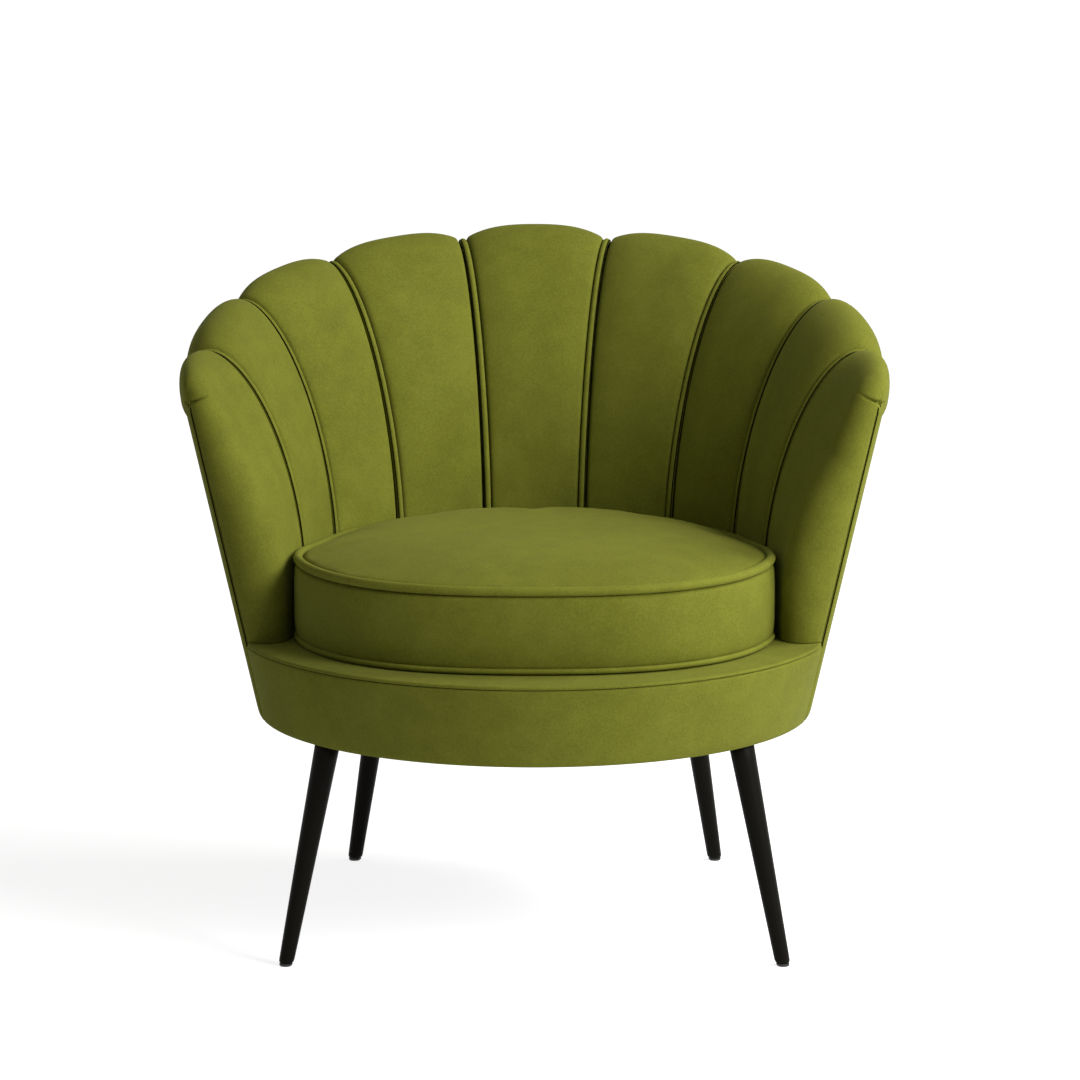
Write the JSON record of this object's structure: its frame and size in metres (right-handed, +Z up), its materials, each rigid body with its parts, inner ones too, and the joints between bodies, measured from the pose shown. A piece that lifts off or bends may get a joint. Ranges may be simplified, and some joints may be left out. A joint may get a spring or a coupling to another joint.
{
  "type": "scallop-back tub chair",
  "caption": "Upholstered tub chair with a flared scalloped back of piped channels, a loose boxed seat cushion, a drum base and splayed tapered legs.",
  "frame": {"origin": "floor, under the middle of the chair's overall box", "axes": "+Z up, the chair faces -Y, +X to the viewer's right seen from the front"},
  "size_m": [0.7904, 0.7464, 0.7428],
  "materials": {
    "velvet": "short-pile olive velvet",
    "velvet_piping": "corded velvet piping",
    "black_wood": "black satin lacquer",
    "black_plastic": "moulded",
    "plywood": "raw",
    "fibreboard": "raw",
    "zinc_steel": "zinc plated",
    "foam": "upholstery foam",
    "webbing": "woven elastic",
    "black_lining": "non-woven"
  },
  "bodies": {
    "chair": {"arm_post_left": "plywood", "arm_post_right": "plywood", "arm_welt_left": "velvet_piping", "arm_welt_right": "velvet_piping", "back_board": "fibreboard", "back_post_centre": "plywood", "back_rail_lower": "plywood", "back_rail_upper": "plywood", "base_ring_lower": "plywood", "base_ring_upper": "plywood", "channel_arm_left": "velvet", "channel_arm_right": "velvet", "channel_centre": "velvet", "channel_left_1": "velvet", "channel_left_2": "velvet", "channel_left_3": "velvet", "channel_right_1": "velvet", "channel_right_2": "velvet", "channel_right_3": "velvet", "channel_welt_left_1": "velvet_piping", "channel_welt_left_2": "velvet_piping", "channel_welt_left_3": "velvet_piping", "channel_welt_left_4": "velvet_piping", "channel_welt_right_1": "velvet_piping", "channel_welt_right_2": "velvet_piping", "channel_welt_right_3": "velvet_piping", "channel_welt_right_4": "velvet_piping", "deck_cover": "velvet", "deck_pad": "foam", "dust_cover": "black_lining", "front_band": "velvet", "glide_back_left": "black_plastic", "glide_back_right": "black_plastic", "glide_front_left": "black_plastic", "glide_front_right": "black_plastic", "leg_back_left": "black_wood", "leg_back_right": "black_wood", "leg_block_back_left": "plywood", "leg_block_back_right": "plywood", "leg_block_front_left": "plywood", "leg_block_front_right": "plywood", "leg_front_left": "black_wood", "leg_front_right": "black_wood", "leg_stud_back_left": "zinc_steel", "leg_stud_back_right": "zinc_steel", "leg_stud_front_left": "zinc_steel", "leg_stud_front_right": "zinc_steel", "outside_arm_left": "velvet", "outside_arm_right": "velvet", "outside_back": "velvet", "webbing_front": "webbing", "webbing_left": "webbing", "webbing_rear": "webbing", "webbing_right": "webbing"},
    "cushion": {"cushion_band": "velvet", "cushion_bottom": "velvet", "cushion_core": "foam", "cushion_top": "velvet", "cushion_welt_bottom": "velvet_piping", "cushion_welt_top": "velvet_piping"}
  },
  "joints": [
    {"name": "cushion_lift", "type": "slide", "parent": "chair", "child": "cushion", "axis": [0, 0, 1], "range_m": [0, 0.35]}
  ]
}
